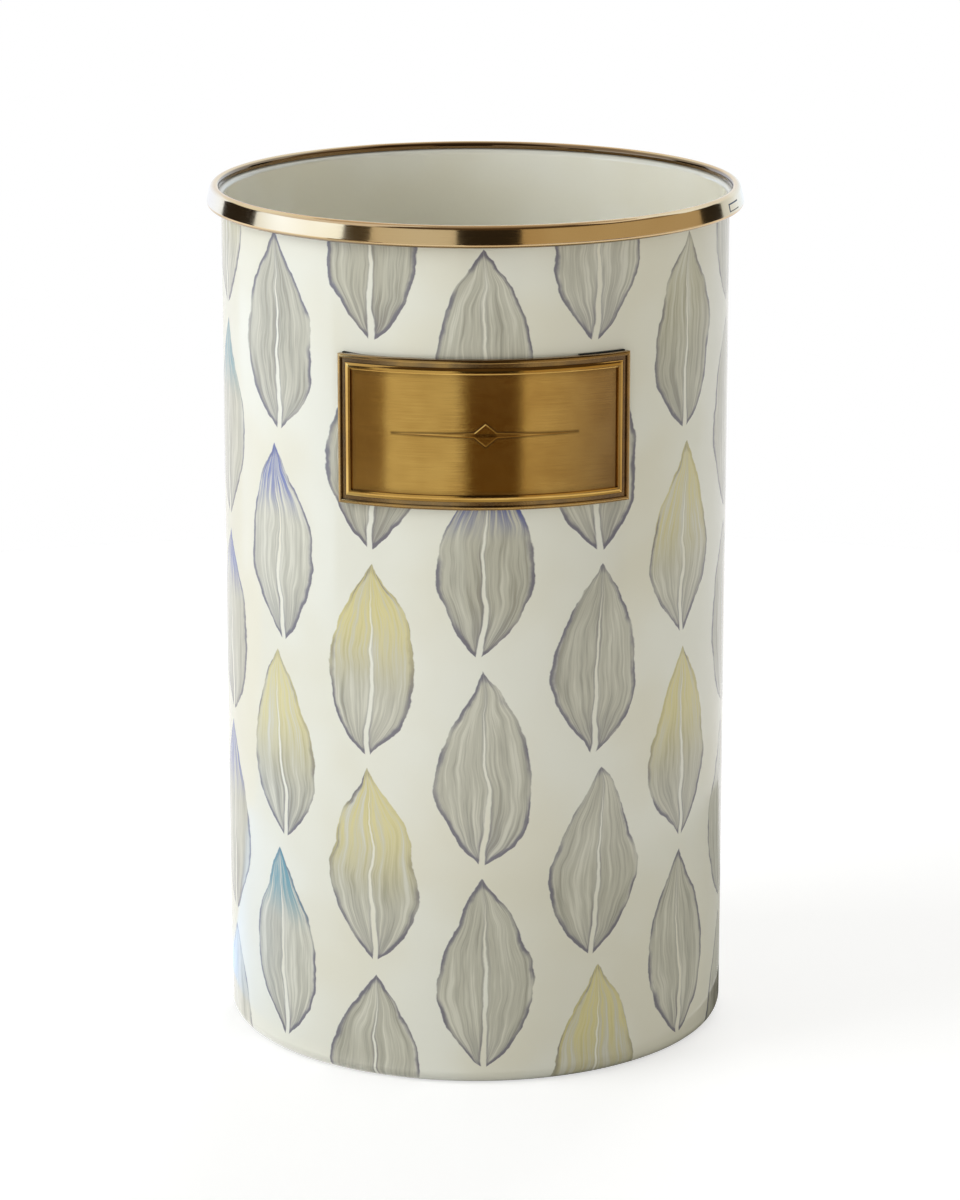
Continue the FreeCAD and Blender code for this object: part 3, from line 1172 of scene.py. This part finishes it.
# %% A curved card
card_radius = 1.7
card_steps = 24
card_shader = {"Base Color": (0, 0, 0, 1), "Specular IOR Level": 0.0, "Emission Strength": 1.0}
rays_that_miss = ("camera", "diffuse", "transmission", "volume_scatter", "shadow")


def upright(low, high):
    """The two edges of an upright card, as (radius, height)."""
    return (card_radius, low), (card_radius, high)


def reflection_card(name, edges, first, last, first_colour, last_colour=None):
    """A card curved round the set between two edges, whose glow may run from one colour to another."""
    bm = bmesh.new()
    start = direction(first, 0)
    ends = [bm.verts.new((start.x * radius, start.y * radius, height)) for radius, height in edges]
    geom = [*ends, bm.edges.new(ends)]
    angle = math.radians(last - first)
    bmesh.ops.spin(
        bm, geom=geom, axis=(0, 0, 1), cent=(0, 0, 0), angle=angle, steps=card_steps, use_merge=False
    )
    finish = Finish(name, **card_shader)
    if last_colour is None:
        finish.set("Emission Color", (*first_colour, 1))
    else:
        _, x, y, _ = finish.place()
        _, azimuth = finish.around(x, y)
        share = finish.ease(azimuth, math.radians(first), math.radians(last))
        finish.set("Emission Color", finish.mix(share, (*first_colour, 1), (*last_colour, 1)))
    card = to_object(bm, name, [finish.material])
    bm.free()
    for ray in rays_that_miss:
        setattr(card, f"visible_{ray}", False)


def put_up(where, cards):
    """Makes the cards of one group."""
    for card in cards:
        reflection_card(*card)
    print(len(cards), "cards", where)


# %% Cards for the wall and the plaque
wall_tier = upright(-0.75, -0.11)
high_wall_tier = upright(-0.22, -0.11)
low_wall_tier = upright(-0.75, -0.22)
put_up("below the set's floor, for the upright faces", [
    ("wall_key", wall_tier, -135, -68, (1.3, 1.4, 1.6), (1.4, 1.55, 1.8)),
    ("wall_left_end", wall_tier, -68, -41.5, (0.30, 0.25, 0.19)),
    ("wall_left_high", high_wall_tier, -41.5, -9.2, (0.84, 0.86, 0.80), (0.66, 0.68, 0.64)),
    ("wall_left_low", low_wall_tier, -41.5, -6.2, (0.74, 0.76, 0.71), (0.84, 0.86, 0.80)),
    ("wall_front_high", high_wall_tier, -9.2, 18.2, (0.11, 0.06, 0.02)),
    ("wall_front_low", low_wall_tier, -6.2, 17.2, (0.15, 0.095, 0.03)),
    ("wall_right_high", high_wall_tier, 18.2, 68, (0.72, 0.69, 0.60), (0.36, 0.34, 0.46)),
    ("wall_right_low", low_wall_tier, 17.2, 68, (0.58, 0.56, 0.49), (0.20, 0.19, 0.28)),
    ("wall_far_right", wall_tier, 68, 120, (0.55, 0.52, 0.46), (0.85, 0.85, 0.8)),
])

# %% Cards for the rim's leaning face
face_tier = upright(-0.09, 0.75)
black = (0.03, 0.026, 0.02)
put_up("at the height of the set, for the rim's leaning face", [
    ("face_far_left", face_tier, -136.5, -108, black),
    ("face_key_left", face_tier, -108, -90, (1.27, 1.65, 2.4), (1.58, 2.18, 3.6)),
    ("face_key", face_tier, -90, -58.9, (1.58, 2.18, 3.6), (1.5, 2.0, 2.95)),
    ("face_left_end", face_tier, -58.9, -46.9, (0.08, 0.07, 0.05)),
    ("face_left", face_tier, -46.9, -10.1, (0.78, 0.80, 0.75)),
    ("face_front", face_tier, -10.1, 17.2, black),
    ("face_right", face_tier, 17.2, 108, (0.58, 0.49, 0.31), (0.56, 0.48, 0.33)),
    ("face_right_end", face_tier, 108, 126, black),
    ("face_back_near", face_tier, 126, 150, (0.88, 1.1, 1.4), (1.08, 1.3, 1.55)),
    ("face_back_right", face_tier, 150, 180, (1.08, 1.3, 1.55), (1.0, 1.05, 1.08)),
    ("face_back_left", face_tier, -180, -136.5, (1.0, 1.04, 1.08), (1.3, 1.65, 2.3)),
])

# %% Cards for the rim's round top
roof_height = 8.0
crown_tier = upright(0.75, 3.2)
low_crown_tier = upright(0.75, 1.6)
left_crown_tier = upright(0.75, roof_height)
back_crown_tier = upright(0.75, 2.4)
high_tier = upright(3.2, roof_height)
back_tier = upright(2.4, roof_height)
roof = (0.01, roof_height), (card_radius, roof_height)
put_up("over the set, for the rim's round top", [
    ("crown_back", back_crown_tier, 100, 180, (1.15, 1.4, 1.8), (1.0, 1.1, 1.2)),
    ("crown_left", left_crown_tier, -160, -113, (1.1, 1.25, 1.4)),
    ("crown_key", left_crown_tier, -113, -46.9, (1.0, 1.15, 1.45), (0.9, 0.95, 1.05)),
    ("crown_front", crown_tier, -46.9, 66, (0.10, 0.07, 0.04)),
    ("crown_right", low_crown_tier, 66, 100, (0.2, 0.15, 0.1), (0.3, 0.25, 0.18)),
    ("high_front", high_tier, -46.9, 90, (0.32, 0.27, 0.22)),
    ("high_back", back_tier, 90, 270, (0.62, 0.57, 0.52)),
    ("roof", roof, -180, 180, (0.42, 0.38, 0.34)),
])

# %% Cards on the floor
floor_ring = (0.065, 0.0005), (0.2, 0.0005)
outer_ring = (0.2, 0.0005), (0.45, 0.0005)
contact_ring = (0.0533, 0.00005), (0.065, 0.00005)
contact_shade = (0.05, 0.05, 0.04)
put_up("on the floor, for the lower wall and its bottom corner", [
    ("floor_left", floor_ring, -120, -25, (1.1, 1.4, 1.9), (0.55, 0.54, 0.46)),
    ("floor_right", floor_ring, -25, 140, (0.55, 0.54, 0.46), (0.5, 0.5, 0.45)),
    ("floor_far_left", outer_ring, -112, -50, (0.95, 1.15, 1.5), (0.78, 0.82, 0.8)),
    ("contact_left", contact_ring, -120, -40, (1.4, 1.4, 1.4), (1.2, 1.2, 1.15)),
    ("contact_front", contact_ring, -40, 25, (1.2, 1.2, 1.15), contact_shade),
    ("contact_right", contact_ring, 25, 140, contact_shade),
])

# %% [markdown]
# ## The camera
#
# The picture looks down at the crock from the front, from about a metre away, with the plaque turned a little
# to the right. A nearer camera with a shorter lens could frame it alike, but the base would then curve
# too much and the rim too little. The lens follows from how large the crock is in the picture.

# %% Camera
camera_azimuth = -2.1
camera_pitch = 14.7
camera_distance = 0.9924
aim_height = 0.0951
aim_right = 0.001
picture_height = 1200
focal_pixels = 4398
sensor = 36.0

camera_data = bpy.data.cameras.new("camera")
camera_data.sensor_width = sensor
camera_data.lens = focal_pixels / picture_height * sensor
camera = bpy.data.objects.new("camera", camera_data)
away = direction(camera_azimuth, camera_pitch)
aim = Vector((0, 0, aim_height))
camera.location = aim + away * camera_distance
right = Vector((0, 0, 1)).cross(away).normalized()
look = aim + right * aim_right - camera.location
camera.rotation_euler = look.to_track_quat("-Z", "Y").to_euler()
camera_data.clip_start = 0.01
camera_data.clip_end = 20
scene.collection.objects.link(camera)
scene.camera = camera
print("lens, mm:", round(camera_data.lens, 1))
